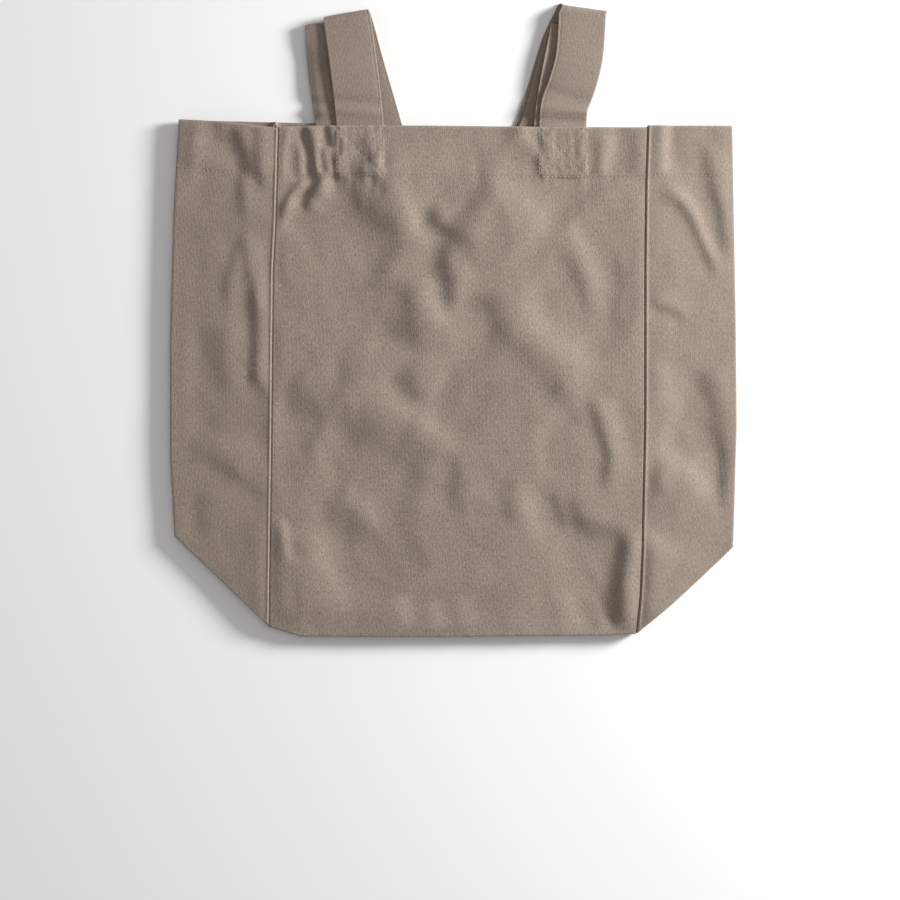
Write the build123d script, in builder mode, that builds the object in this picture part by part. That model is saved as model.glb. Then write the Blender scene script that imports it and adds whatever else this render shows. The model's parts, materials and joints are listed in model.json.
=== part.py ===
"""A gusseted canvas carrying bag, lying flat on its back with its handles folded behind it.

Millimetres. +X points to the bag's right side, +Y to its mouth, +Z out of its front panel.
The origin is below the middle of the whole folded bag, on the surface that it lies on.
"""

import os
from math import acos, atan2, cos, degrees, hypot, pi, sin

from build123d import *

# Cut sizes of the bag
PANEL_W = 292.0
PANEL_H = 400.0
DEPTH = 154.0
HEM_H = 42.0
CANVAS_T = 0.8

# Straps
STRAP_W = 38.0
STRAP_T = 1.6
STRAP_END_H = 40.0

# Thread
THREAD_W = 0.9
THREAD_T = 0.2
HEM_STITCH_DROP = 40.0
BOX_STITCH_W = 33.0
BOX_STITCH_H = 35.0
STITCH_INSET = 1.5

# Seam allowances inside the bag
SEAM_W = 10.0

# Clearances
LAYER_GAP = 0.3
INNER_GAP = 0.2
EDGE_GAP = 0.3
HEM_SEAM_GAP = 1.5
CAVITY = 6.0

# Plan positions
HALF_W = PANEL_W / 2
FOLD_D = DEPTH / 2
FRONT_RISE = 88.0
BACK_RISE = 76.0
HANDLE_TOP = 93.0
MOUTH_Y = (PANEL_H - HANDLE_TOP) / 2
BOTTOM_Y = MOUTH_Y - PANEL_H
BASE_FOLD_Y = BOTTOM_Y + FOLD_D

# Heights of the layers, from the surface that the bag lies on
FRONT_LOOP_Z = 0.0
BACK_LOOP_Z = FRONT_LOOP_Z + STRAP_T + LAYER_GAP
BACK_THREAD_Z = BACK_LOOP_Z + STRAP_T + LAYER_GAP
BACK_PANEL_Z = BACK_THREAD_Z + THREAD_T
BACK_INNER_Z = BACK_PANEL_Z + CANVAS_T
BACK_STRAP_Z = BACK_INNER_Z + CANVAS_T
FRONT_INNER_Z = BACK_INNER_Z + CAVITY
FRONT_HEM_Z = FRONT_INNER_Z - CANVAS_T
FRONT_STRAP_Z = FRONT_HEM_Z - STRAP_T
FRONT_THREAD_Z = FRONT_INNER_Z + CANVAS_T
BASE_BACK_Z = BACK_INNER_Z + INNER_GAP
BASE_FRONT_Z = FRONT_INNER_Z - INNER_GAP - CANVAS_T

# Strap middles, left then right: at the mouth, and at the fold
FRONT_STRAP_X = {"left": (-78.5, -89.0), "right": (80.5, 94.0)}
BACK_STRAP_X = {"left": (-94.0, -103.0), "right": (76.5, 89.0)}

# Turn at the far end of each handle loop: middle (from the mouth) and radius
FRONT_TURN = (0.0, -112.0, 30.0)
BACK_TURN = (-6.0, -98.0, 28.0)
TURN_STEPS = 12

SIDES = {"left": -1, "right": 1}


def save(piece, label):
    """Names a finished piece and writes its file."""
    piece.part.label = label
    export_step(piece.part, f"parts/{label}.step")


def flat_piece(label, outline, z_low, thickness):
    """A flat piece of cloth or thread with the given outline."""
    with BuildPart() as piece:
        with BuildSketch(Plane.XY.offset(z_low)):
            with BuildLine():
                Polyline(*outline, close=True)
            make_face()
        extrude(amount=thickness)
    save(piece, label)


def rectangle(x_low, x_high, y_low, y_high):
    """The corners of an upright rectangle."""
    return [(x_low, y_low), (x_high, y_low), (x_high, y_high), (x_low, y_high)]


def mirrored(outline, sign):
    """The outline on the side of the bag that sign gives."""
    return [(sign * x, y) for x, y in outline]


def make_panels():
    """The front and the back panel."""
    x_edge = HALF_W - INNER_GAP
    outline = rectangle(-x_edge, x_edge, BOTTOM_Y, MOUTH_Y)
    flat_piece("front_panel", outline, FRONT_INNER_Z, CANVAS_T)
    flat_piece("back_panel", outline, BACK_PANEL_Z, CANVAS_T)


def make_gusset_halves():
    """Each gusset is folded outwards down its middle and cut off by its corner fold."""
    outline = [
        (HALF_W + EDGE_GAP, MOUTH_Y),
        (HALF_W + FOLD_D, MOUTH_Y),
        (HALF_W + FOLD_D, BASE_FOLD_Y),
        (HALF_W + EDGE_GAP, BOTTOM_Y + EDGE_GAP),
    ]
    for side, sign in SIDES.items():
        half = mirrored(outline, sign)
        flat_piece(f"{side}_gusset_front_half", half, FRONT_INNER_Z, CANVAS_T)
        flat_piece(f"{side}_gusset_back_half", half, BACK_PANEL_Z, CANVAS_T)


def make_corner_folds():
    """The lower corner of each gusset half, turned in along its 45 degree crease."""
    clear = 2 * EDGE_GAP
    outline = [
        (HALF_W + clear, BOTTOM_Y + 3 * clear),
        (HALF_W + FOLD_D - 3 * clear, BASE_FOLD_Y - clear),
        (HALF_W + clear, BASE_FOLD_Y - clear),
    ]
    for side, sign in SIDES.items():
        corner = mirrored(outline, sign)
        flat_piece(f"{side}_front_corner_fold", corner, BASE_FRONT_Z, CANVAS_T)
        flat_piece(f"{side}_back_corner_fold", corner, BASE_BACK_Z, CANVAS_T)


def make_base_halves():
    """The base is folded up between the panels along its middle."""
    x_edge = HALF_W - EDGE_GAP
    outline = rectangle(-x_edge, x_edge, BOTTOM_Y + EDGE_GAP, BASE_FOLD_Y)
    flat_piece("base_front_half", outline, BASE_FRONT_Z, CANVAS_T)
    flat_piece("base_back_half", outline, BASE_BACK_Z, CANVAS_T)


def make_hems():
    """The cloth turned down inside the mouth of each panel and gusset half."""
    low, high = MOUTH_Y - HEM_H, MOUTH_Y
    x_edge = HALF_W - INNER_GAP
    panel = rectangle(-x_edge, x_edge, low, high)
    flat_piece("front_hem", panel, FRONT_HEM_Z, CANVAS_T)
    flat_piece("back_hem", panel, BACK_INNER_Z, CANVAS_T)
    half = rectangle(HALF_W + HEM_SEAM_GAP, HALF_W + FOLD_D - HEM_SEAM_GAP, low, high)
    for side, sign in SIDES.items():
        outline = mirrored(half, sign)
        flat_piece(f"{side}_gusset_front_hem", outline, FRONT_HEM_Z, CANVAS_T)
        flat_piece(f"{side}_gusset_back_hem", outline, BACK_INNER_Z, CANVAS_T)


def make_hem_stitching():
    """One row of thread on the outside, along the lower edge of each hem."""
    low = MOUTH_Y - HEM_STITCH_DROP
    x_edge = HALF_W - STITCH_INSET
    row = rectangle(-x_edge, x_edge, low, low + THREAD_W)
    flat_piece("front_hem_stitching", row, FRONT_THREAD_Z, THREAD_T)
    flat_piece("back_hem_stitching", row, BACK_THREAD_Z, THREAD_T)
    half = rectangle(HALF_W + STITCH_INSET, HALF_W + FOLD_D - STITCH_INSET, low, low + THREAD_W)
    for side, sign in SIDES.items():
        outline = mirrored(half, sign)
        flat_piece(f"{side}_gusset_front_stitching", outline, FRONT_THREAD_Z, THREAD_T)
        flat_piece(f"{side}_gusset_back_stitching", outline, BACK_THREAD_Z, THREAD_T)


def make_seams():
    """Seam allowances inside the bag: down the side seams and along the base."""
    x_edge = HALF_W - INNER_GAP
    upright = rectangle(x_edge - SEAM_W, x_edge, BASE_FOLD_Y + LAYER_GAP, MOUTH_Y - HEM_H)
    for side, sign in SIDES.items():
        outline = mirrored(upright, sign)
        flat_piece(f"front_{side}_seam", outline, FRONT_HEM_Z, CANVAS_T)
        flat_piece(f"back_{side}_seam", outline, BACK_INNER_Z, CANVAS_T)
    level = rectangle(-x_edge + SEAM_W, x_edge - SEAM_W, BOTTOM_Y + SEAM_W, BOTTOM_Y + 2 * SEAM_W)
    flat_piece("base_front_seam", level, BASE_FRONT_Z - CANVAS_T, CANVAS_T)
    flat_piece("base_back_seam", level, BASE_BACK_Z + CANVAS_T, CANVAS_T)


def make_strap(label, middles, rise, z_low):
    """A strap end sewn inside the hem, and the leg that leans from it to the handle's fold."""
    mouth_x, fold_x = middles
    half = STRAP_W / 2
    top = MOUTH_Y + rise - LAYER_GAP
    outline = [
        (mouth_x - half, MOUTH_Y - STRAP_END_H),
        (mouth_x + half, MOUTH_Y - STRAP_END_H),
        (mouth_x + half, MOUTH_Y),
        (fold_x + half, top),
        (fold_x - half, top),
        (mouth_x - half, MOUTH_Y),
    ]
    flat_piece(label, outline, z_low, STRAP_T)


def make_box_stitching(label, x_mid, z_low):
    """A rectangle of thread with a cross in it, through a strap end."""
    lean = degrees(atan2(BOX_STITCH_H, BOX_STITCH_W))
    diagonal = hypot(BOX_STITCH_W, BOX_STITCH_H) - 2 * THREAD_W
    inner_w = BOX_STITCH_W - 2 * THREAD_W
    inner_h = BOX_STITCH_H - 2 * THREAD_W
    y_mid = MOUTH_Y - STRAP_END_H / 2
    with BuildPart() as stitches:
        with BuildSketch(Plane.XY.offset(z_low)):
            with Locations((x_mid, y_mid)):
                Rectangle(BOX_STITCH_W, BOX_STITCH_H)
                Rectangle(inner_w, inner_h, mode=Mode.SUBTRACT)
                Rectangle(diagonal, THREAD_W, rotation=lean)
                Rectangle(diagonal, THREAD_W, rotation=-lean)
        extrude(amount=THREAD_T)
    save(stitches, label)


def turn_points(left_top, right_top, turn):
    """The middle line of a loop: two straight runs that meet a round turn without a kink."""
    turn_x, turn_y, radius = turn
    reach_left = hypot(left_top[0] - turn_x, left_top[1] - turn_y)
    reach_right = hypot(right_top[0] - turn_x, right_top[1] - turn_y)
    start = atan2(left_top[1] - turn_y, left_top[0] - turn_x) + acos(radius / reach_left)
    end = atan2(right_top[1] - turn_y, right_top[0] - turn_x) - acos(radius / reach_right)
    end += 2 * pi
    angles = [start + (end - start) * n / TURN_STEPS for n in range(TURN_STEPS + 1)]
    turned = [(turn_x + radius * cos(a), turn_y + radius * sin(a)) for a in angles]
    return [left_top, *turned, right_top]


def strip_outline(line):
    """The outline of a strap whose middle follows the line. Its two ends are cut level."""
    half = STRAP_W / 2
    left, right = [], []
    for n, (x, y) in enumerate(line):
        if n in (0, len(line) - 1):
            across = (-1.0, 0.0) if n else (1.0, 0.0)
        else:
            dx, dy = line[n + 1][0] - line[n - 1][0], line[n + 1][1] - line[n - 1][1]
            across = (-dy / hypot(dx, dy), dx / hypot(dx, dy))
        left.append((x + half * across[0], y + half * across[1]))
        right.append((x - half * across[0], y - half * across[1]))
    return [*left, *reversed(right)]


def make_loop(label, straps, rise, z_loop, z_leg, turn):
    """The folded-back part of a handle: a bend at each strap's fold, two runs and the turn."""
    fold_y = MOUTH_Y + rise
    tops = [(straps[side][1], fold_y) for side in SIDES]
    lowered = (turn[0], MOUTH_Y + turn[1], turn[2])
    outline = strip_outline(turn_points(tops[0], tops[1], lowered))
    bend_z = (z_loop + z_leg + STRAP_T) / 2
    outer = bend_z - z_loop
    with BuildPart() as loop:
        with BuildSketch(Plane.XY.offset(z_loop)):
            with BuildLine():
                Polyline(*outline, close=True)
            make_face()
        extrude(amount=STRAP_T)
        for x_mid, _ in tops:
            with BuildSketch(Plane.YZ.offset(x_mid - STRAP_W / 2)):
                with Locations((fold_y, bend_z)):
                    Circle(outer)
                    Circle(outer - STRAP_T, mode=Mode.SUBTRACT)
                with Locations((fold_y - outer, bend_z)):
                    Rectangle(2 * outer, 2 * outer, mode=Mode.SUBTRACT)
            extrude(amount=STRAP_W)
    save(loop, label)


def make_handles():
    """Both handles: four strap ends with legs, their stitching, and two loops."""
    for side in SIDES:
        front_x, back_x = FRONT_STRAP_X[side], BACK_STRAP_X[side]
        make_strap(f"front_{side}_strap", front_x, FRONT_RISE, FRONT_STRAP_Z)
        make_strap(f"back_{side}_strap", back_x, BACK_RISE, BACK_STRAP_Z)
        make_box_stitching(f"front_{side}_box_stitch", front_x[0], FRONT_THREAD_Z)
        make_box_stitching(f"back_{side}_box_stitch", back_x[0], BACK_THREAD_Z)
    make_loop("front_handle_loop", FRONT_STRAP_X, FRONT_RISE, FRONT_LOOP_Z, FRONT_STRAP_Z, FRONT_TURN)
    make_loop("back_handle_loop", BACK_STRAP_X, BACK_RISE, BACK_LOOP_Z, BACK_STRAP_Z, BACK_TURN)


os.makedirs("parts", exist_ok=True)
make_panels()
make_gusset_halves()
make_corner_folds()
make_base_halves()
make_hems()
make_hem_stitching()
make_seams()
make_handles()
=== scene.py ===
import json
import math

import bpy
import numpy as np
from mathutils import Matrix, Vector, noise


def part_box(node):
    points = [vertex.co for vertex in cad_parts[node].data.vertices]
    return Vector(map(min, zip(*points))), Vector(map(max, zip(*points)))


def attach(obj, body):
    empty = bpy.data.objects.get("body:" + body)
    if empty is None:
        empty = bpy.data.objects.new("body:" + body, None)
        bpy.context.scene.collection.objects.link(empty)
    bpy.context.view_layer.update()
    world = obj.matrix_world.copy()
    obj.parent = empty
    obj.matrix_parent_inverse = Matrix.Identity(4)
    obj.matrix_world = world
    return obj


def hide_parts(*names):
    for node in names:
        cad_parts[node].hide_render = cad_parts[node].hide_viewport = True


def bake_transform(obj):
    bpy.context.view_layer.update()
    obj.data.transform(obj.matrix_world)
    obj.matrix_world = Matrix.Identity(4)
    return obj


MM = 0.001

# ---------------------------------------------------------------- the frame

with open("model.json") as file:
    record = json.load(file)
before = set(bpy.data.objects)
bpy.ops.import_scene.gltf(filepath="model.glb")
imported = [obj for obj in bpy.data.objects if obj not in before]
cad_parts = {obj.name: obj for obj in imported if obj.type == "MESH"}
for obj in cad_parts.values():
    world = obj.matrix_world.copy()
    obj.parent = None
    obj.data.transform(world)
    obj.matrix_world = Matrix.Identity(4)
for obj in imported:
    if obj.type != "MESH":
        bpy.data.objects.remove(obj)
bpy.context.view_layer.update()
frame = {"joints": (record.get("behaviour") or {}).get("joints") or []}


def box_mm(node):
    """Lowest and highest corner of a CAD node, in millimetres."""
    low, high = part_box(node)
    return np.array(low) / MM, np.array(high) / MM


def joint_pos(name):
    """A point on a joint's axis, in millimetres."""
    found = next(j for j in frame["joints"] if j["name"] == name)
    return np.array(found["pos_m"]) / MM


FRONT_LOW, FRONT_HIGH = box_mm("front_panel")
MOUTH_Y, BOTTOM_Y = FRONT_HIGH[1], FRONT_LOW[1]
HEM_H = MOUTH_Y - box_mm("front_hem")[0][1]
STITCH_Y = box_mm("front_hem_stitching")[0][1] + 0.5
GUSSET_AXIS = joint_pos("left_gusset_fold")
BASE_AXIS = joint_pos("base_fold")
BASE_SEAM_Z = joint_pos("base_seam")[2]
HALF_W = -joint_pos("bag_open")[0]
FOLD_D = -GUSSET_AXIS[0] - HALF_W
BASE_FOLD_Y = BASE_AXIS[1]
FRONT_TOP = FRONT_HIGH[2]
BACK_UNDER = box_mm("back_panel")[0][2]

# ---------------------------------------------------------------- small maths


def smooth(t):
    t = np.clip(t, 0.0, 1.0)
    return t * t * (3 - 2 * t)


def bell(d, width, sharp=2.0):
    return np.exp(-((np.abs(d) / width) ** sharp))


def curve(at, table):
    """A value read from a short table of (place, value), straight between its entries."""
    xs, ys = zip(*sorted(table))
    return np.interp(at, xs, ys)


def run_of(points):
    """How far along a line each of its points lies."""
    return np.concatenate([[0], np.cumsum(np.linalg.norm(np.diff(points, axis=0), axis=1))])


def nearest(X, Y, points):
    """Distance to a bent line, the side of it, and how far along it the nearest point lies."""
    points = np.array(points, float)
    legs = np.linalg.norm(np.diff(points, axis=0), axis=1)
    starts = run_of(points) / legs.sum()
    best = np.full(X.shape, np.inf)
    side, along = np.zeros(X.shape), np.zeros(X.shape)
    for n, leg in enumerate(legs):
        (ax, ay), (bx, by) = points[n], points[n + 1]
        ux, uy = (bx - ax) / leg, (by - ay) / leg
        t = np.clip((X - ax) * ux + (Y - ay) * uy, 0, leg)
        dx, dy = X - ax - t * ux, Y - ay - t * uy
        d = np.hypot(dx, dy)
        near = d < best
        best = np.where(near, d, best)
        side = np.where(near, np.sign(ux * dy - uy * dx), side)
        along = np.where(near, starts[n] + t / legs.sum(), along)
    return best, side, along


def field(X, Y, size_x, size_y, seed):
    """Soft noise of about -1 to 1, with its own grain size across and along."""
    flat = [
        noise.noise(Vector((x / size_x, y / size_y, seed * 7.31)))
        for x, y in zip(X.ravel().tolist(), Y.ravel().tolist())
    ]
    return np.array(flat).reshape(X.shape)


# ---------------------------------------------------------------- the lie of the cloth

# Where the side seams run and where the gussets fold, from the mouth down: (y, x)
LEFT_SEAM = [(155, -142.8), (80, -144.3), (40, -146), (-110, -146.2), (-247, -146.8)]
RIGHT_SEAM = [
    (155, 147.2), (110, 146), (50, 145.8), (-80, 146.8), (-180, 145.6), (-215, 144.4), (-247, 141.6)
]
LEFT_FOLD = [(156, -221.4), (80, -225), (-20, -227), (-110, -226), (-170, -222.0)]
RIGHT_FOLD = [(156, 214.0), (80, 216.0), (0, 218.2), (-80, 219.6), (-170, 217.6)]
SEAMS = {"left": LEFT_SEAM, "right": RIGHT_SEAM}
BACK_SEAMS = {
    "left": [(155, -HALF_W), (-247, -HALF_W)],
    "right": [(155, HALF_W), (-238, HALF_W), (-247, HALF_W - 5.6)],
}
FOLDS = {"left": LEFT_FOLD, "right": RIGHT_FOLD}
SIGNS = {"left": -1, "right": 1}

# How far the mouth stands off a straight line: (x, rise)
MOUTH_RISE = {
    "panel": [(-148, -1.8), (-110, -0.4), (-40, 0.2), (60, 0.2), (146, 0.5)],
    "left": [(-225, 3.9), (-190, 2.4), (-162, -0.4), (-144, -2.6)],
    "right": [(146, 2.0), (220, 2.6)],
    "back": [
        (-225, 3.9), (-184, 3.5), (-146, 3.0), (-112, 2.2), (-76, 0.8), (60, 0.6), (146, 1.2), (220, 2.6)
    ],
}
# How far the lower edge stands off a straight line: (x, rise)
BOTTOM_RISE = {
    "panel": [(-147, 5.6), (-122, -1.8), (-60, -1.6), (0, -1.0), (60, 0.2), (120, 1.4), (142, 2.6)],
    "left": [(-222, -0.8), (-147, 5.6)],
    "right": [(142, 2.6), (218, -5.6)],
}
# Over what length of the bag each of the two dies away: (nearest to the other edge, length)
MOUTH_RISE_FADE, BOTTOM_RISE_FADE = (230, 190), (190, 112)

# Middle lines of the two straps, as (rise above the mouth, x): legs, then the runs behind
FRONT_LEGS = {
    "left": [(-40, -78.5), (0, -78.7), (24, -81.2), (48, -84.4), (70, -87.6), (83, -89.6)],
    "right": [
        (-40, 80.6), (0, 80.4), (17, 81), (27, 85.4), (42, 90.2), (57, 93.4), (78, 94.6), (89, 95)
    ],
}
FRONT_RUNS = {
    "left": [(83, -88.9), (68, -84.4), (48, -79), (27, -72.6), (2, -65.2)],
    "right": [(89, 92.6), (66, 81.6), (48, 76.4), (28, 70.8), (1, 61.4)],
}
BACK_LEGS = {
    "left": [(-40, -94.6), (0, -94.8), (14, -97), (30, -99.8), (56, -103.0), (79, -104.2)],
    "right": [(-40, 75.6), (0, 75.8), (28, 79.5), (48, 83.2), (76, 88.4)],
}
BACK_RUNS = {
    "left": [(79, -103), (48, -94), (20, -86), (2, -81)],
    "right": [(76, 86.6), (66, 83.8), (48, 78.9), (28, 73.6), (5, 68.6)],
}
# Where each loop turns behind the bag: (x, rise above the mouth, radius)
FRONT_TURN = (-1.0, -112.0, 30.0)
BACK_TURN = (-6.0, -98.0, 28.0)
STRAP_W = 37.4
STRAP_T = 1.7
# How each leg lies across its width: (place across, height)
STRAP_LIE = {
    "front_handle": {
        "left": [(-19, 0.6), (0, 0.3), (19, 0.0)],
        "right": [(-19, 0.2), (0, 0.3), (19, 0.4)],
    },
    "back_handle": {
        "left": [(-19, -2.2), (-11, 0.2), (-3, -1.3), (19, -1.6)],
        "right": [(-19, 1.4), (-14, -0.4), (19, 0.6)],
    },
}
STRAP_LIFT = {"front_handle": 2.0, "back_handle": 0.4}
# Kinks across the legs just above the mouth: (rise, slant, depth, width)
STRAP_KINKS = {
    "left": [(18, 0.16, 1.9, 3.4), (11, 0.2, -1.5, 3.0)],
    "right": [(13, -0.05, -1.9, 3.4), (4.5, 0.06, 1.5, 2.0), (24, -0.1, 1.2, 4.5)],
}

# The stitched boxes that fix the straps in the hem
BOX_HALF = 18.0
BOX_LOW, BOX_HIGH = STITCH_Y + 0.3, MOUTH_Y - 2.5
BOX_SWELL, BOX_DRAW, BOX_CRUMPLE, BOX_PUCKER = 0.75, 0.42, 0.5, 0.35

# How far a bank reaches either side, in widths; how steep all are; and how far they may go
BANK_REACH = 4.0
STEEPNESS = 1.5
BANK_ENDS = 0.25
DEEPEST, HIGHEST = 4.6, 6.5
# The way the light of the photograph comes from, on the plan
WINDOW = (0.95, 0.31)

# Banks of the front: lines across which the cloth climbs or drops, by the place they lie in.
# Each is the line, half the width of the slope, and its steepness; climbing to the window is positive.
BANKS = {
    "pleats in the hem by the left box": [
        ([(-132, 156), (-137, 134), (-138, 108)], 2.7, -0.33),
        ([(-128, 140), (-128, 110)], 1.9, 0.18),
        ([(-124, 159), (-117, 134), (-113, 107)], 2.9, 0.5),
        ([(-130, 156), (-123, 134), (-121, 110)], 2.4, -0.26),
        ([(-110, 156), (-111, 134), (-110, 112)], 2.5, -0.32),
        ([(-105, 159), (-101, 134)], 2.4, 0.44),
        ([(-109, 137), (-105, 113)], 2.3, 0.36),
        ([(-100, 135), (-96, 106)], 1.9, 0.34),
        ([(-94, 146), (-93, 126)], 1.9, 0.2),
    ],
    "under the hem and beside the left seam": [
        ([(-120, 116), (-133, 102), (-140, 91), (-143, 77)], 3.0, 0.48),
        ([(-116, 112), (-129, 97), (-135, 86), (-140, 69)], 4.3, -0.31),
        ([(-105, 115), (-117, 102), (-125, 85)], 3.9, 0.54),
        ([(-101, 117), (-107, 96)], 3.9, -0.24),
        ([(-138, 75), (-141, 55), (-140, 35), (-131, 19)], 3.1, 0.11),
        ([(-128, 74), (-117, 51), (-108, 33)], 3.9, -0.08),
    ],
    "round the left box": [
        ([(-96, 117), (-77, 91), (-58, 75), (-37, 62)], 14.1, 0.21),
        ([(-67, 118), (-55, 98)], 3.9, 0.24),
        ([(-88, 117), (-63, 111)], 3.9, 0.18),
        ([(-61, 136), (-59, 108)], 2.0, -0.26),
        ([(-57, 131), (-54, 106)], 2.0, 0.14),
        ([(-79, 147), (-68, 120)], 3.9, 0.18),
    ],
    "middle": [
        ([(-47, 114), (-41, 91), (-31, 73), (-14, 56)], 6.3, -0.22),
        ([(-28, 92), (-18, 75), (-3, 66), (19, 56)], 5.9, 0.31),
        ([(-17, 97), (-7, 78)], 6.3, -0.07),
        ([(-15, 67), (-10, 37), (-4, 4)], 7.9, 0.29),
        ([(7, 53), (2, 29), (-1, 1)], 6.3, -0.22),
        ([(-21, 39), (-21, 17), (-13, -8)], 7.9, -0.18),
    ],
    "left of the middle": [
        ([(-45, 39), (-38, 5), (-36, -29)], 8.6, 0.2),
        ([(-73, 19), (-58, 1), (-43, -18)], 8.6, 0.1),
        ([(-50, -35), (-38, -54), (-19, -65)], 8.6, 0.17),
        ([(-71, -53), (-45, -68), (-22, -81), (11, -101)], 9.4, -0.19),
        ([(-138, -52), (-116, -69), (-99, -84)], 9.4, 0.14),
        ([(-108, -77), (-61, -90), (-17, -98)], 17.3, 0.14),
    ],
    "low on the left": [
        ([(-106, -135), (-84, -153), (-76, -185)], 8.6, 0.14),
        ([(-90, -125), (-72, -145), (-60, -166)], 6.3, -0.09),
        ([(-106, -153), (-103, -188), (-87, -233)], 14.1, -0.19),
        ([(-136, -155), (-131, -193)], 3.5, -0.33),
        ([(-126, -199), (-121, -229)], 3.1, 0.1),
    ],
    "low in the middle": [
        ([(-5, -96), (-2, -124), (-5, -150)], 7.1, 0.14),
        ([(-37, -164), (-22, -197)], 6.3, 0.08),
        ([(-45, -211), (-34, -241)], 7.1, -0.15),
        ([(-19, -216), (-10, -241)], 6.3, -0.14),
        ([(4, -211), (14, -240)], 6.3, -0.13),
    ],
    "hem and right box": [
        ([(35, 162), (48, 119)], 9.4, 0.13),
        ([(45, 159), (61, 135), (67, 110)], 3.1, -0.17),
        ([(58, 135), (65, 107)], 3.1, 0.31),
        ([(8, 160), (17, 131), (22, 99)], 4.7, 0.04),
        ([(70, 157), (78, 135), (69, 112)], 3.9, -0.1),
        ([(107, 148), (108, 111)], 3.1, 0.17),
        ([(101, 140), (101, 104)], 2.4, -0.14),
        ([(121, 158), (113, 109)], 4.7, -0.22),
        ([(135, 156), (135, 109)], 3.9, 0.07),
    ],
    "upper right": [
        ([(20, 118), (51, 96), (76, 65)], 15.7, -0.22),
        ([(80, 87), (99, 57), (107, 34), (113, -1)], 7.1, -0.14),
        ([(77, 63), (93, 33), (106, -3)], 7.1, 0.12),
        ([(123, 59), (126, 26), (117, -10)], 4.7, 0.15),
        ([(137, 81), (137, 26), (134, -23)], 4.7, 0.07),
    ],
    "the long diagonal": [
        ([(13, 36), (33, -6), (52, -22), (77, -47), (94, -70)], 9.4, 0.15),
        ([(71, -42), (86, -61), (98, -87)], 6.3, 0.11),
        ([(40, 17), (80, -18), (113, -43)], 15.7, -0.17),
        ([(101, -54), (112, -87), (118, -105), (113, -137)], 4.3, 0.28),
        ([(116, -51), (124, -84), (128, -119)], 6.3, -0.12),
    ],
    "low on the right": [
        ([(38, -118), (42, -162)], 6.3, 0.14),
        ([(51, -122), (57, -147), (70, -176)], 7.9, -0.14),
        ([(64, -74), (67, -128)], 5.5, -0.08),
        ([(73, -130), (83, -164)], 4.7, 0.17),
    ],
    "lower right corner": [
        ([(85, -133), (98, -161), (114, -191)], 6.3, 0.18),
        ([(134, -158), (130, -183), (126, -208), (128, -249)], 10.2, 0.51),
        ([(100, -188), (114, -216), (129, -243)], 2.7, 0.33),
        ([(97, -199), (111, -222), (126, -247)], 2.0, -0.24),
        ([(99, -215), (113, -244)], 3.9, 0.29),
        ([(89, -208), (102, -243)], 5.5, -0.14),
        ([(135, -162), (133, -227)], 2.5, -0.1),
        ([(70, -207), (82, -243)], 4.7, 0.07),
    ],
    "left gusset": [
        ([(-219, 158), (-219, 112)], 6.3, 0.18),
        ([(-204, 157), (-208, 119), (-223, 78)], 6.3, -0.13),
        ([(-191, 157), (-189, 136)], 3.9, 0.15),
        ([(-180, 155), (-171, 129), (-166, 108)], 5.5, 0.35),
        ([(-160, 154), (-160, 133)], 3.1, 0.24),
        ([(-161, 140), (-158, 118), (-154, 100)], 3.9, 0.31),
        ([(-175, 118), (-172, 94), (-170, 74)], 3.9, 0.21),
        ([(-163, 113), (-169, 78)], 3.1, -0.09),
        ([(-165, 74), (-176, 55), (-183, 31), (-187, 6)], 3.1, 0.19),
        ([(-169, 63), (-166, 27)], 2.7, 0.17),
        ([(-164, 42), (-161, 8), (-160, -20), (-162, -61)], 3.9, 0.35),
        ([(-155, 72), (-152, 31), (-155, -3)], 4.7, -0.13),
        ([(-194, -2), (-185, -63)], 11.0, 0.1),
        ([(-163, -38), (-150, -63)], 3.9, 0.18),
        ([(-205, -104), (-182, -118), (-163, -134), (-145, -148)], 5.5, 0.14),
        ([(-203, -132), (-197, -173)], 9.4, 0.09),
        ([(-223, 82), (-225, 15), (-224, -63), (-219, -142)], 6.3, -0.13),
        ([(-213, -87), (-183, -95), (-153, -106)], 7.9, -0.11),
    ],
    "right gusset": [
        ([(162, 164), (162, 136), (163, 109)], 3.9, -0.33),
        ([(157, 111), (174, 101), (185, 88), (192, 70), (206, 41)], 3.9, -0.26),
        ([(151, 98), (171, 93), (181, 80), (187, 67), (195, 49), (203, 30)], 3.9, 0.31),
        ([(189, 147), (196, 109), (203, 85), (212, 42)], 5.5, 0.23),
        ([(194, 154), (209, 137)], 3.1, 0.08),
        ([(147, 14), (162, 10), (180, 3)], 2.7, 0.33),
        ([(185, -29), (200, -68), (205, -112)], 8.6, 0.19),
        ([(208, -91), (210, -146)], 3.9, 0.21),
        ([(153, -101), (183, -111), (203, -135)], 11.0, -0.26),
        ([(160, -5), (171, -30)], 4.7, -0.08),
        ([(161, -26), (170, -69)], 8.6, -0.14),
        ([(150, -117), (162, -139)], 3.9, 0.09),
        ([(189, -176), (168, -205), (152, -231)], 6.3, 0.1),
        ([(209, 148), (214, 82), (215, 3)], 2.7, -0.1),
    ],
}


def turn_line(runs, turn):
    """Plan points of a handle's turn behind the bag, between its two runs."""
    turn_x, turn_y, radius = turn
    turn_y += MOUTH_Y
    tops = [runs[side][-1] for side in SIGNS]
    away = [(x - turn_x, MOUTH_Y + rise - turn_y) for rise, x in tops]
    facing = [math.atan2(dy, dx) for dx, dy in away]
    spread = [math.acos(radius / math.hypot(dx, dy)) for dx, dy in away]
    angles = np.linspace(facing[0] + spread[0], facing[1] - spread[1] + 2 * math.pi, 16)
    return [(turn_x + radius * math.cos(a), turn_y + radius * math.sin(a)) for a in angles]


def loop_line(runs, turn):
    left = [(x, MOUTH_Y + rise) for rise, x in runs["left"]]
    right = [(x, MOUTH_Y + rise) for rise, x in reversed(runs["right"])]
    return left + turn_line(runs, turn) + right


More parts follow.
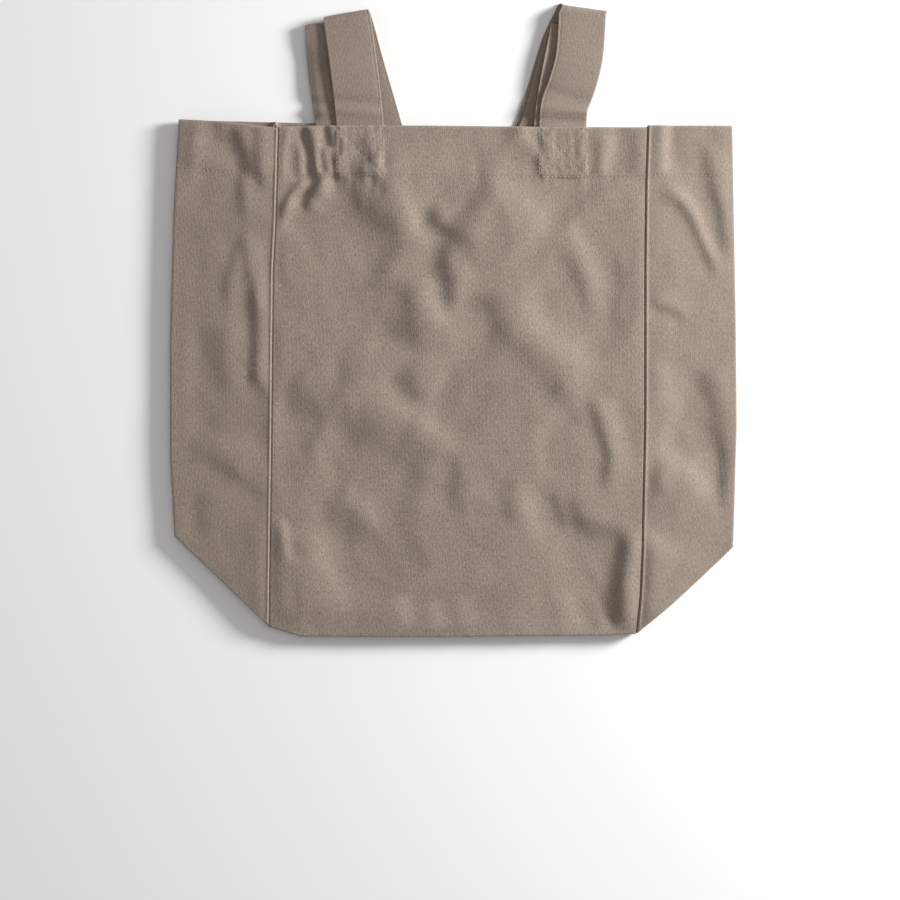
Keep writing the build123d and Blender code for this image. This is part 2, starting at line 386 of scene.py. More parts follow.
FRONT_LOOP = loop_line(FRONT_RUNS, FRONT_TURN)
BACK_LOOP = loop_line(BACK_RUNS, BACK_TURN)
# How much of the swell over the handles each loop makes
LOOP_SHARES = ((FRONT_LOOP, 0.62), (BACK_LOOP, 0.38))


def over_loops(X, Y, reach):
    """1 where the cloth lies on the handle loops, falling to 0 over reach."""
    over = 0
    for loop, share in LOOP_SHARES:
        over = over + share * smooth(1 - (nearest(X, Y, loop)[0] - STRAP_W / 2 + 2) / reach)
    return over


def rise(X, Y, part, back=False):
    """How far a point of the cloth is moved up or down the bag by the way it lies."""
    (top_from, top_over), (low_from, low_over) = MOUTH_RISE_FADE, BOTTOM_RISE_FADE
    top = curve(X, MOUTH_RISE["back" if back else part])
    low = curve(X, BOTTOM_RISE[part])
    top = top * smooth((Y - MOUTH_Y + top_from) / top_over)
    return top + low * smooth((BOTTOM_Y + low_from - Y) / low_over)


def seam_sink(X, Y, on_gusset):
    """How the cloth rolls down into the side seams; a gusset's edge stands a little proud first."""
    sink = np.zeros(X.shape)
    for table in SEAMS.values():
        d = np.abs(X - curve(Y, table))
        if on_gusset:
            sink += 0.6 * bell(d - 1.4, 0.9) - 1.2 * bell(d, 0.6)
        else:
            sink += -0.8 * bell(d, 0.45, 1.7) - 0.25 * bell(d, 5.0)
    return sink


def box_corners(side):
    x_mid = FRONT_LEGS[side][1][1]
    return x_mid - BOX_HALF, x_mid + BOX_HALF, BOX_LOW, BOX_HIGH


def box_runs(side):
    """The six straight runs of stitching that fix a strap: a rectangle and its two diagonals."""
    left, right, low, high = box_corners(side)
    a, b, c, d = (left, low), (right, low), (right, high), (left, high)
    return [(a, b), (b, c), (c, d), (d, a), (a, c), (b, d)]


def box_relief(X, Y):
    """The strap ends felt through the hem, drawn down along their stitching."""
    z = np.zeros(X.shape)
    for side in SIGNS:
        left, right, low, _ = box_corners(side)
        across = smooth((X - left + 2) / 2) * smooth((right + 2 - X) / 2)
        inside = across * smooth((Y - low + 2) / 2)
        z += BOX_SWELL * inside
        for run in box_runs(side):
            z -= BOX_DRAW * bell(nearest(X, Y, run)[0], 1.1, 1.7)
        z += BOX_CRUMPLE * inside * field(X, Y, 5.5, 8.5, 31)
        beside = np.maximum(np.maximum(left - X, X - right), 0)
        near = bell(beside, 9) * smooth((Y - low + 14) / 10)
        z += BOX_PUCKER * near * field(X, Y, 4.5, 16, 32)
    return z


def banked(X, Y):
    """The folds of the front, added up from its banks. A bank dies away slowly on both sides."""
    z = np.zeros(X.shape)
    for points, width, steep in (bank for place in BANKS.values() for bank in place):
        (ax, ay), (bx, by) = points[0], points[-1]
        facing = np.sign(-(by - ay) * WINDOW[0] + (bx - ax) * WINDOW[1])
        d, side, along = nearest(X, Y, points)
        d = d * side * facing
        ends = smooth(along / BANK_ENDS) * smooth((1 - along) / BANK_ENDS)
        slope = STEEPNESS * steep * width * np.tanh(d / width)
        z += slope * np.exp(-((d / (BANK_REACH * width)) ** 2)) * ends
    return np.where(z < 0, DEEPEST * np.tanh(z / DEEPEST), HIGHEST * np.tanh(z / HIGHEST))


def sewn_flat(X, Y):
    """1 on open cloth, falling beside the side seams and at the outer folds, which lie flatter."""
    open_cloth = 1 - 0.65 * smooth((np.abs(X) - (HALF_W + FOLD_D - 20)) / 14)
    for table in SEAMS.values():
        open_cloth = open_cloth * (1 - 0.7 * bell(X - curve(Y, table), 7.0))
    return open_cloth


# Heights of the front's outer face
FOOT_SETTLE, LOOP_SWELL = 0.9, 0.9
BROAD_WAVES, CREASED_WAVES, SMALL_WAVES = 0.55, 0.35, 0.16
HEM_STEP, ROW_DIP, ROW_PUCKER = 0.45, 0.4, 0.42
FOOT_ROUND, MOUTH_ROUND, FOLD_TAPER = 0.5, 0.5, 1.8


def front_z(X, Y, on_gusset=False):
    """Height of the front's outer face, in millimetres."""
    lie = -FOOT_SETTLE * smooth((40 - Y) / 190)
    lie += LOOP_SWELL * over_loops(X, Y, 24.0) * smooth((MOUTH_Y - Y) / 40)
    lie += banked(X, Y)
    lie += BROAD_WAVES * field(X, Y, 58, 74, 1)
    lie += CREASED_WAVES * (0.5 - np.abs(field(X + 0.3 * Y, Y, 26, 44, 2))) * 2
    lie += SMALL_WAVES * field(X, Y, 9, 13, 3)
    z = FRONT_TOP - 0.1 + lie * sewn_flat(X, Y)
    z += box_relief(X, Y)
    z += HEM_STEP * smooth((Y - STITCH_Y + 1.8) / 1.6)
    z -= ROW_DIP * bell(Y - STITCH_Y, 0.9)
    z += ROW_PUCKER * field(X, Y * 0 + 3, 6.5, 10, 4) * bell(Y - STITCH_Y, 8.0)
    z -= FOOT_ROUND * smooth((BOTTOM_Y + 1.2 - Y) / 1.2) ** 2
    z -= FOLD_TAPER * smooth((np.abs(X) - HALF_W - 2) / (FOLD_D + 14))
    z -= MOUTH_ROUND * smooth((Y - MOUTH_Y + 2.2) / 2.2) ** 2
    return z + seam_sink(X, Y, on_gusset)


# Heights of the back's outer face: on the table, at its outer folds, its side seams and its foot
BACK_LIES, BACK_AT_FOLD, BACK_AT_SEAM, BACK_AT_FOOT = 0.5, 3.7, 4.2, 3.8
BACK_LOWEST = 0.12


def back_z(X, Y):
    """Height of the back's outer face, which lies on the table and over the handle loops."""
    held = over_loops(X, Y, 46.0)
    z = BACK_LIES + (BACK_UNDER - 0.4) * held
    z += 0.35 * field(X, Y, 48, 60, 11) * (1 - held)
    z += 0.18 * np.abs(field(X, Y, 15, 26, 12))
    z += 0.3 * bell(Y - STITCH_Y, 0.9)
    outer = smooth((np.abs(X) - (HALF_W + FOLD_D - 34)) / 30)
    foot = smooth((BASE_FOLD_Y + 30 - Y) / 30) * smooth((np.abs(X) - HALF_W) / 6)
    z += (BACK_AT_FOLD - z) * np.maximum(outer, foot)
    z += (BACK_AT_SEAM - z) * bell(np.abs(X) - HALF_W, 1.8, 1.6)
    z += (BACK_AT_FOOT - z) * bell(Y - BOTTOM_Y, 2.2, 1.6) * (np.abs(X) < HALF_W)
    return np.maximum(z, BACK_LOWEST)


# ---------------------------------------------------------------- meshes

CLOTH_T = 0.8
# Where each kind of cloth starts on the flat, so that no two show the same grain
GRAIN_FROM = {
    "gusset": 400, "corner": 700, "base": 1500, "side seam": 2200, "base seam": 2600, "strap": 3000
}


def mesh_piece(name, verts, faces, uvs=None, wear_and_edge_light=None):
    """A smooth mesh from millimetre points. uvs are the cloth's own millimetres."""
    mesh = bpy.data.meshes.new(name)
    mesh.from_pydata((np.asarray(verts) * MM).tolist(), [], faces)
    mesh.polygons.foreach_set("use_smooth", [True] * len(mesh.polygons))
    if uvs is not None:
        layer = mesh.uv_layers.new(name="UVMap")
        index = np.zeros(len(mesh.loops), int)
        mesh.loops.foreach_get("vertex_index", index)
        layer.data.foreach_set("uv", (np.asarray(uvs) * MM)[index].ravel().astype(np.float32))
    # The per-point edge mask that the canvas reads to make its edges paler: partly wear, partly a
    # painted highlight where the edges catch the light
    if wear_and_edge_light is not None:
        worn_and_lit = mesh.attributes.new("worn_and_lit", "FLOAT", "POINT")
        worn_and_lit.data.foreach_set("value", np.asarray(wear_and_edge_light, np.float32).ravel())
    mesh.validate()
    piece = bpy.data.objects.new(name, mesh)
    bpy.context.scene.collection.objects.link(piece)
    return piece


def grid_faces(rows, cols, keep=None, flip=False):
    """Quads of a grid of points, of all its squares or of those to keep."""
    faces = []
    for j in range(rows - 1):
        for i in range(cols - 1):
            if keep is not None and not keep(j, i):
                continue
            a = j * cols + i
            quad = (a, a + 1, a + cols + 1, a + cols)
            faces.append(quad[::-1] if flip else quad)
    return faces


def crisp_rim(mesh):
    """Keep the shading of a sheet's face from bending over at its rim."""
    edge_of = np.zeros(len(mesh.loops), int)
    mesh.loops.foreach_get("edge_index", edge_of)
    sharp = np.bincount(edge_of, minlength=len(mesh.edges)) == 1
    mesh.edges.foreach_set("use_edge_sharp", sharp)


def thicken(piece, thickness=CLOTH_T):
    solid = piece.modifiers.new("cloth", "SOLIDIFY")
    solid.thickness = thickness * MM
    solid.offset = -1
    return piece


def cut_piece(name, points, faces):
    """A piece of cloth from some of a grid's faces, leaving out the points they don't use."""
    used = sorted({v for f in faces for v in f})
    renumber = {v: n for n, v in enumerate(used)}
    faces = [tuple(renumber[v] for v in f) for f in faces]
    verts, uvs, wear_and_edge_light = (p[used] for p in points)
    piece = mesh_piece(name, verts, faces, uvs, wear_and_edge_light)
    crisp_rim(piece.data)
    return thicken(piece)


def cut_pieces(name, points, size, shares, flip=False):
    """The parts of a folded cloth, each with the share of the grid's squares that it keeps."""
    return {
        part: cut_piece(f"{name}_{part}_cloth", points, grid_faces(*size, keep, flip))
        for part, keep in shares.items()
    }


def steps(*spans):
    """Places along a line: (from, to, spacing) spans joined end to end."""
    found = []
    for low, high, gap in spans:
        count = max(1, round(abs(high - low) / gap))
        found += list(np.linspace(low, high, count + 1)[:-1])
    return np.array(found + [spans[-1][1]])


# ---------------------------------------------------------------- hems

HEM_ROLL = 0.85
HEM_TURN = 6
HEM_SETTLE = 0.25
HEM_SQUEEZE = 1.2


def with_hem(ys):
    """Rows that go on over the mouth and down inside: (y on the outside, turn, drop)."""
    rows = [(y, 0.0, 0.0) for y in ys]
    rows += [(MOUTH_Y, math.pi * n / HEM_TURN, 0.0) for n in range(1, HEM_TURN)]
    inner = steps((0, 4, 1.3), (4, HEM_H, 4.5))
    return rows + [(MOUTH_Y - d, math.pi, d) for d in inner]


def hem_place(y0, turn, drop):
    """How far a row is set in by its turn over the mouth, and the y it ends at."""
    if 0 < turn < math.pi:
        return HEM_ROLL * (1 - math.cos(turn)), y0 + HEM_ROLL * (math.sin(turn) - 1)
    if turn:
        return 2 * HEM_ROLL + HEM_SETTLE * float(smooth(drop / 20)), y0 - HEM_ROLL
    return 0.0, min(y0, MOUTH_Y - HEM_ROLL)


def hem_length(y0, turn, drop):
    """Where a row lies along its flat cloth."""
    return MOUTH_Y + 2.7 + drop if turn >= math.pi else y0 + 2.7 * turn / math.pi


# ---------------------------------------------------------------- panels

# Rows of a panel below its mouth, closest at the foot, the stitching and the mouth
ROW_STEPS = (
    (BOTTOM_Y, BOTTOM_Y + 2.4, 0.6),
    (BOTTOM_Y + 2.4, BOTTOM_Y + 6, 1.2),
    (BOTTOM_Y + 6, STITCH_Y - 5, 2.5),
    (STITCH_Y - 5, STITCH_Y + 3, 0.6),
    (STITCH_Y + 3, MOUTH_Y - 3, 1.15),
    (MOUTH_Y - 3, MOUTH_Y, 0.75),
)
# The same across it, as shares of its half width
COL_STEPS = (
    (-1, -0.984, 0.003),
    (-0.984, -0.96, 0.006),
    (-0.96, 0.96, 0.017),
    (0.96, 0.984, 0.006),
    (0.984, 1, 0.003),
)
PLEATS_FROM, PLEAT_GAP = -139.0, 1.3
BOX_REACH, BOX_GAP = 19, 1.0
# How far the back panel laps the side seams, and how far a panel's foot turns in to the base seam
SEAM_LAP = 1.2
FOOT_TURN = 3.4


def panel_columns():
    """Places across a panel, as shares of its half width, with more at its pleats and boxes."""
    left, right = (FRONT_LEGS[side][1][1] for side in SIGNS)
    spans = [steps(*COL_STEPS), np.arange(PLEATS_FROM, left - BOX_REACH, PLEAT_GAP) / HALF_W]
    for middle in (left, right):
        spans.append(np.arange(middle - BOX_REACH, middle + BOX_REACH + 0.1, BOX_GAP) / HALF_W)
    cols = np.unique(np.concatenate(spans).round(4))
    cols = cols[np.concatenate([[True], np.diff(cols) > 0.002])]
    cols[-1] = 1.0
    return cols


def foot_turned(X, Y, Z, front):
    """Heights of the two rows by which a panel's foot turns in to the base seam."""
    if front:
        foot = np.minimum(Z[0] - 0.8, FRONT_TOP - FOOT_TURN)
    else:
        foot = np.clip(BASE_SEAM_Z + Y[0] - BOTTOM_Y + 1.2, Z[0] + 0.8, FRONT_TOP - 2.8)
    Y = np.vstack([Y[0] + 0.25, Y[0] + 0.05, Y])
    return np.stack([X, Y, np.vstack([foot, (foot + Z[0]) / 2, Z])], -1)


def build_panel(name, front):
    """The front or back panel with its hem turned down inside the mouth."""
    cols, rows = panel_columns(), with_hem(steps(*ROW_STEPS))
    S = np.tile(cols, (len(rows), 1))
    drop = np.array([row[2] for row in rows])[:, None] + 0 * S
    Y0 = np.array([row[0] for row in rows])[:, None] + 0 * S
    seams, lap, height, out = (SEAMS, 0, front_z, 1) if front else (BACK_SEAMS, SEAM_LAP, back_z, -1)
    left, right = curve(Y0, seams["left"]) - lap, curve(Y0, seams["right"]) + lap
    X = (left + right) / 2 + S * (right - left) / 2
    inward, at_y = (np.array(part)[:, None] for part in zip(*(hem_place(*row) for row in rows)))
    Z = height(X, Y0) - out * inward
    Y = at_y + 0 * S
    Y = Y + rise(X, Y, "panel", not front)
    X = X * (1.0 - 0.012 * smooth(drop / 5))
    U = S * HALF_W
    V = np.array([hem_length(*row) for row in rows])[:, None] + 0 * S
    # Paler at the mouth fold and the side edges: partly wear, partly a painted highlight where the edges
    # catch the light
    worn_and_lit = 0.8 * bell(Y0 - MOUTH_Y, 1.6) + 0.5 * bell(np.abs(U) - HALF_W, 2.0)
    X, U, worn_and_lit = (np.vstack([grid[:1], grid[:1], grid]) for grid in (X, U, worn_and_lit))
    V = np.vstack([V[0] - FOOT_TURN, V[0] - FOOT_TURN / 2, V])
    verts = foot_turned(X, Y, Z, front).reshape(-1, 3)
    faces = grid_faces(len(X), len(cols), flip=not front)
    return thicken(mesh_piece(name, verts, faces, np.stack([U, V], -1).reshape(-1, 2), worn_and_lit))


# ---------------------------------------------------------------- gussets

GUSSET_ROWS = (
    (BOTTOM_Y + 1.0, BASE_FOLD_Y, 2.6),
    (BASE_FOLD_Y, STITCH_Y - 5, 2.6),
    (STITCH_Y - 5, STITCH_Y + 3, 0.7),
    (STITCH_Y + 3, MOUTH_Y - 3, 1.6),
    (MOUTH_Y - 3, MOUTH_Y, 0.75),
)
# Places across a gusset half, from its seam to its fold, as shares
GUSSET_COLS = ((0, 0.035, 0.005), (0.035, 0.065, 0.01), (0.065, 0.93, 0.033), (0.93, 1, 0.018))
HALF_COLS = steps(*GUSSET_COLS)
BEND = np.linspace(0, math.pi, 11)[1:-1]
# How far the fold stands out beyond the halves, and at the tucked corner; and its half height there
FOLD_CURL, TUCK_CURL, TUCK_HALF = 1.25, 1.2, 1.1
LEAST_REACH = 0.4


def gusset_outline(side, y0):
    """One row of a gusset: places out from the middle, heights, and the ways it faces."""
    sign = SIGNS[side]
    seam, back_seam = abs(curve(y0, SEAMS[side])), abs(curve(y0, BACK_SEAMS[side]))
    outer = abs(curve(max(y0, BASE_FOLD_Y), FOLDS[side]))
    tuck = float(smooth((BASE_FOLD_Y - y0) / 9))
    curl = FOLD_CURL + (TUCK_CURL - FOLD_CURL) * tuck
    share = min(1.0, (y0 - BOTTOM_Y) / (BASE_FOLD_Y - BOTTOM_Y))
    reach = max(seam + (outer - seam) * share - curl, seam + LEAST_REACH)
    x_front = seam + (reach - seam) * HALF_COLS
    x_back = back_seam + (max(reach, back_seam + LEAST_REACH) - back_seam) * HALF_COLS[::-1]
    at_y = np.full((1, len(HALF_COLS)), y0)
    zf = front_z((sign * x_front)[None, :], at_y, True)[0]
    zb = back_z((sign * x_back)[None, :], at_y)[0]
    half = (zf[-1] - zb[0]) / 2
    fall = half + (TUCK_HALF - half) * tuck
    upper, lower = zf[-1] - fall * (1 - np.cos(BEND)), zb[0] + fall * (1 + np.cos(BEND))
    xs = np.concatenate([x_front, reach + curl * np.sin(BEND), x_back])
    zs = np.concatenate([zf, np.where(BEND < math.pi / 2 + 0.03, upper, lower), zb])
    level = np.zeros(len(HALF_COLS))
    nx = np.concatenate([level, np.sin(BEND), level])
    nz = np.concatenate([level + 1, np.cos(BEND), level - 1])
    return xs, zs, nx, nz, seam, share


def gusset_row(side, row):
    """Points, cloth places and pale edges (partly wear, partly painted highlight) of one row of a
    gusset.
    """
    sign, y0, drop = SIGNS[side], row[0], row[2]
    xs, zs, nx, nz, seam, share = gusset_outline(side, y0)
    inward, y = hem_place(*row)
    at_y = np.full(len(xs), y)
    on_front = np.arange(len(xs)) < len(HALF_COLS) + 4
    lift = np.where(on_front, rise(sign * xs, at_y, side), rise(sign * xs, at_y, side, True))
    hold = np.concatenate([HALF_COLS, np.ones(len(BEND)), HALF_COLS[::-1]])
    xs = xs - inward * nx + HEM_SQUEEZE * float(smooth(drop / 5)) * (1 - hold)
    points = np.stack([sign * xs, y + lift, zs - inward * nz], -1)
    spread = FOLD_D * share
    bend_run = BEND * (1.0 if y0 < BASE_FOLD_Y - 0.01 else 2.0)
    back_run = 2 * FOLD_D + 6 - spread * HALF_COLS[::-1]
    u = np.concatenate([spread * HALF_COLS, spread + bend_run, back_run])
    u = u + GRAIN_FROM["gusset"] * (sign + 2)
    uvs = np.stack([u, np.full(len(xs), hem_length(*row))], -1)
    # Paler at the mouth fold, round the outer fold and beside the seam: partly wear, partly a painted
    # highlight where the edges catch the light
    wear_and_edge_light = 0.8 * bell(y0 - MOUTH_Y, 1.6) + 0.7 * np.abs(nx) + 0.6 * bell(xs - seam, 2.4)
    return points, uvs, wear_and_edge_light


def build_gusset(side):
    """One gusset folded outwards: front half, tight fold and back half, each with its hem."""
    rows = with_hem(steps(*GUSSET_ROWS))
    points = tuple(np.concatenate(part) for part in zip(*(gusset_row(side, row) for row in rows)))
    half, cols = len(HALF_COLS), 2 * len(HALF_COLS) + len(BEND)
    first_full = next(j for j, row in enumerate(rows) if row[0] >= BASE_FOLD_Y - 0.01)
    middle, last_front, first_back = half + 4, half - 2, half + len(BEND) + 1
    shares = {
        "front": lambda j, i: i < (last_front if j >= first_full else middle),
        "fold": lambda j, i: j >= first_full and last_front <= i < first_back,
        "back": lambda j, i: i >= (first_back if j >= first_full else middle + 1),
    }
    return cut_pieces(f"{side}_gusset", points, (len(rows), cols), shares, SIGNS[side] < 0)


# ---------------------------------------------------------------- base and corners

# Right edge of the folded base, kept inside the slanted corner: (distance from the foot, x)
BASE_RIGHT_EDGE = [(0, RIGHT_SEAM[-1][1] - 1.2), (5, HALF_W - 0.8), (80, HALF_W - 0.8)]
BASE_ACROSS = np.concatenate([[-1, -0.97], np.linspace(-0.93, 0.93, 48), [0.97, 1]])
BASE_DEPTH = FOLD_D - 2.5
BASE_CURL = 2.0
BASE_ROW_GAP = 2.6
# The base keeps this far below the front's top and above the back's lowest, and inside each
BASE_ROOM, BASE_INSIDE, BASE_OVER_BACK = (6.0, 2.0), 1.9, 1.7
# Points that would lie in the seams are read a little inside them
IN_FROM_SEAM = 0.985


def base_row(n, u, angle):
    """One row of the base, at a distance from the foot and an angle round its fold."""
    left, right = 0.8 - HALF_W, curve(u, BASE_RIGHT_EDGE)
    xs = (left + right) / 2 + BASE_ACROSS * (right - left) / 2
    at_x = xs[None, :] * IN_FROM_SEAM
    Y = np.full((1, len(xs)), BOTTOM_Y + u)
    zf = front_z(at_x, np.maximum(Y, BOTTOM_Y + 8))[0] - BASE_INSIDE
    zf = np.clip(zf, *(FRONT_TOP - room for room in BASE_ROOM))
    zb = np.maximum(back_z(at_x, Y)[0] + BASE_OVER_BACK, BACK_UNDER + 1.2)
    z = (zf + zb) / 2 + np.maximum((zf - zb) / 2, 0.6) * math.cos(angle)
    ys = np.full(len(xs), BOTTOM_Y + 0.2 + u + BASE_CURL * math.sin(angle))
    points = np.stack([xs, ys + rise(xs, ys, "panel", angle > math.pi / 2 + 0.03), z], -1)
    uvs = np.stack([xs + GRAIN_FROM["base"], np.full(len(xs), BASE_ROW_GAP * n)], -1)
    return points, uvs, np.zeros(len(xs))


def build_base():
    """The base, folded up between the panels: front half, tight fold and back half."""
    up = steps((0, 4, 1.0), (4, BASE_DEPTH, 5.0))
    path = [(u, 0.0) for u in up]
    path += [(BASE_DEPTH, a) for a in np.linspace(0, math.pi, 9)[1:-1]]
    path += [(u, math.pi) for u in up[::-1]]
    made = [base_row(n, u, angle) for n, (u, angle) in enumerate(path)]
    points = tuple(np.concatenate(part) for part in zip(*made))
    first, last = len(up) - 1, len(path) - len(up)
    shares = {
        "front": lambda j, i: j < first,
        "fold": lambda j, i: first <= j < last,
        "back": lambda j, i: j >= last,
    }
    return cut_pieces("base", points, (len(path), len(BASE_ACROSS)), shares)


def crease_ends(side):
    """Where a lower corner's slanted crease starts, at the seam, and ends, at the outer fold."""
    sign = SIGNS[side]
    seam, fold = abs(curve(BOTTOM_Y, SEAMS[side])), abs(FOLDS[side][-1][1]) - TUCK_CURL
    places = ((sign * seam, BOTTOM_Y), (sign * fold, BASE_FOLD_Y))
    return [np.array([x, y + float(rise(x, y, side))]) for x, y in places]


# Distances of a corner's rows from its crease, and how far a corner lies inside the cloth
CORNER_ROWS = [0, 0.4, 0.8, 1.2, 1.6, 2.1, 2.8, *np.linspace(5, FOLD_D / math.sqrt(2), 14)]
CORNER_INSIDE = {"front": 2.0, "back": 1.9}
CORNER_T = 0.7


def corner_faces(index, count):
    faces = []
    for u in range(count):
        for i in range(count - u):
            faces.append((index[u, i], index[u, i + 1], index[u + 1, i]))
            if i:
                faces.append((index[u, i], index[u + 1, i], index[u + 1, i - 1]))
    return faces


def build_corner(side, level):
    """A gusset's lower corner, tucked in along its crease, with rows along the crease."""
    sign, count = SIGNS[side], len(CORNER_ROWS) - 1
    start, end = crease_ends(side)
    seam = sign * abs(curve(BASE_FOLD_Y, SEAMS[side]))
    inner = np.array([seam, BASE_FOLD_Y + float(rise(seam, BASE_FOLD_Y, side))])
    P, index = [], {}
    for u, away in enumerate(CORNER_ROWS):
        share = away / CORNER_ROWS[-1]
        low, high = start + (inner - start) * share, end + (inner - end) * share
        for i in range(count - u + 1):
            index[u, i] = len(P)
            x, y = low + (high - low) * (i / max(1, count - u))
            at = np.array([[x]]), np.array([[y]])
            if level == "front":
                z = front_z(*at, True)[0, 0] - CORNER_INSIDE[level]
            else:
                z = back_z(*at)[0, 0] + CORNER_INSIDE[level]
            P.append((x, y, z))
    faces = [f[::sign] for f in corner_faces(index, count)]
    uvs = [(abs(x) + GRAIN_FROM["corner"], y) for x, y, _ in P]
    piece = mesh_piece(f"{side}_{level}_corner_cloth", P, faces, uvs, np.zeros(len(P)))
    return thicken(piece, CORNER_T)


# ---------------------------------------------------------------- straps

# Places across half a strap, and the stitched groove beside its edges: (place, depth)
STRAP_ACROSS = [0.0, 0.35, 0.65, 0.8, 0.86, 0.89, 0.92, 0.95, 0.975, 0.992]
GROOVE = {0.86: 0.08, 0.89: 0.26, 0.92: 0.08}
STRAP_ROUND_FROM = 0.955
STRAP_PARTS = ("left_leg", "left_fold", "loop", "right_fold", "right_leg")
FOLD_RINGS = 12
# How far apart on the flat the two straps lie, and the two faces of each
STRAP_GRAIN, FACE_GRAIN = 60, 40


def strap_section():
    """Outline of a folded strap, across and up, with a stitched groove near each edge."""
    half, thick = STRAP_W / 2, STRAP_T / 2
    upper = []
    for share in [-a for a in reversed(STRAP_ACROSS[1:])] + STRAP_ACROSS:
        past = max(0.0, (abs(share) - STRAP_ROUND_FROM) / (1 - STRAP_ROUND_FROM))
        edge = math.sqrt(max(0.0, 1 - past**2))
        upper.append((share * half, thick * (0.25 + 0.75 * edge) - GROOVE.get(share, 0.0)))
    return upper + [(x, -z) for x, z in reversed(upper)]


def sampled(points, gap=2.6):
    """Even points along a bent line with its corners rounded."""
    points = np.array(points, float)
    for _ in range(2):
        cut = [points[0]]
        for a, b in zip(points[:-1], points[1:]):
            cut += [a * 0.75 + b * 0.25, a * 0.25 + b * 0.75]
        points = np.array(cut + [points[-1]])
    run = run_of(points)
    at = np.linspace(0, run[-1], round(run[-1] / gap) + 1)
    return np.stack([np.interp(at, run, points[:, k]) for k in (0, 1)], -1)


def ways_of(points):
    ways = np.gradient(points, axis=0)
    return ways / np.linalg.norm(ways, axis=1)[:, None]


def flat_run(points, z, face):
    """Rings of a strap lying flat: each ring's point, direction across, and up."""
    return [
        ((x, y, z), (dy * face, -dx * face, 0), (0, 0, face))
        for (x, y), (dx, dy) in zip(points, ways_of(points))
    ]


def fold_run(before, after, z_from, z_to):
    """Rings of a half turn from one level to the other, as the strap folds back on itself."""
    start, way, end, end_way = before[-1], ways_of(before)[-1], after[0], ways_of(after)[0]
    face = 1 if z_from > z_to else -1
    rings = []
    for n in range(1, FOLD_RINGS):
        a = math.pi * n / FOLD_RINGS
        share = (1 - math.cos(a)) / 2
        x, y = start + (end - start) * share + way * math.sin(a) * abs(z_from - z_to) / 2
        z = (z_from + z_to) / 2 + (z_from - z_to) / 2 * math.cos(a)
        across = np.array([way[1], -way[0], 0]) * (1 - share)
        across += np.array([-end_way[1], end_way[0], 0]) * share
        normal = np.array([way[0] * math.sin(a), way[1] * math.sin(a), face * math.cos(a)])
        across, normal = across / np.linalg.norm(across), normal / np.linalg.norm(normal)
        rings.append(((x, y, z), tuple(across * face), tuple(normal)))
    return rings


def strap_path(legs, runs, turn, z_leg, z_loop):
    """Points, directions across, and ups along one whole handle strap, and where its parts meet."""
    up = sampled([(x, MOUTH_Y + rise) for rise, x in legs["left"]])
    loop = sampled(loop_line(runs, turn))
    down = sampled([(x, MOUTH_Y + rise) for rise, x in reversed(legs["right"])])
    rings = flat_run(up, z_leg, 1) + fold_run(up, loop, z_leg, z_loop)
    rings += flat_run(loop, z_loop, -1) + fold_run(loop, down, z_loop, z_leg)
    rings += flat_run(down, z_leg, 1)
    first = len(up) + FOLD_RINGS - 1
    second = first + len(loop)
    marks = [0, len(up) - 1, first, second - 1, second + FOLD_RINGS - 1, len(rings) - 1]
    return tuple(np.array(part, float) for part in zip(*rings)) + (marks,)


def kink_at(side, height_up, off):
    """Depth of the kinks across a leg, at a height above the mouth and a place across."""
    return sum(
        -depth * math.exp(-(((height_up - at + slant * off) / width) ** 2))
        for at, slant, depth, width in STRAP_KINKS[side]
    )


def strap_ring(name, seed, p, a, up, along, z_leg, z_loop):
    """Points and cloth places of one ring of a strap, with the way it lies."""
    height_up, side = p[1] - MOUTH_Y, "left" if p[0] < 0 else "right"
    on_leg = float(smooth(3 * (p[2] - z_loop) / (z_leg - z_loop) - 1.5))
    shown = float(smooth(height_up / 10)) * on_leg
    bow = 0.7 * noise.noise(Vector((along / 38, seed, 0))) * shown
    tilt = 0.04 * noise.noise(Vector((along / 46, seed, 3.0))) * shown
    lift = STRAP_LIFT[name] * float(smooth((height_up - 2) / 24)) * shown
    settled = shown * (1 - 0.7 * float(smooth((height_up - 50) / 22)))
    kinked = float(smooth(height_up / 3)) * (up[2] > 0.9)
    narrow = 1 - 0.09 * max(0.0, 1 - abs(up[2])) ** 0.7
    verts, uvs = [], []
    for across, height in strap_section():
        off = across * a[0]
        crown = 0.3 * (1 - (across / (STRAP_W / 2)) ** 2) * shown
        lie = float(curve(off, STRAP_LIE[name][side])) * settled
        z = height + bow + lift + crown + tilt * across + lie + kink_at(side, height_up, off) * kinked
        across *= narrow
        verts.append(p + a * across + up * z)
        face = FACE_GRAIN if height < 0 else 0
        uvs.append((across + GRAIN_FROM["strap"] + STRAP_GRAIN * seed + face, along))
    return verts, uvs


def tube_faces(rings, count, part):
    """Faces of a run of closed rings, capped where the strap begins or ends."""
    faces = []
    for n in range(rings):
        for i in range(count):
            k = (i + 1) % count
            faces.append((n * count + i, n * count + k, (n + 1) * count + k, (n + 1) * count + i))
    if part == STRAP_PARTS[0]:
        faces.append(tuple(reversed(range(count))))
    if part == STRAP_PARTS[-1]:
        faces.append(tuple(rings * count + i for i in range(count)))
    return faces


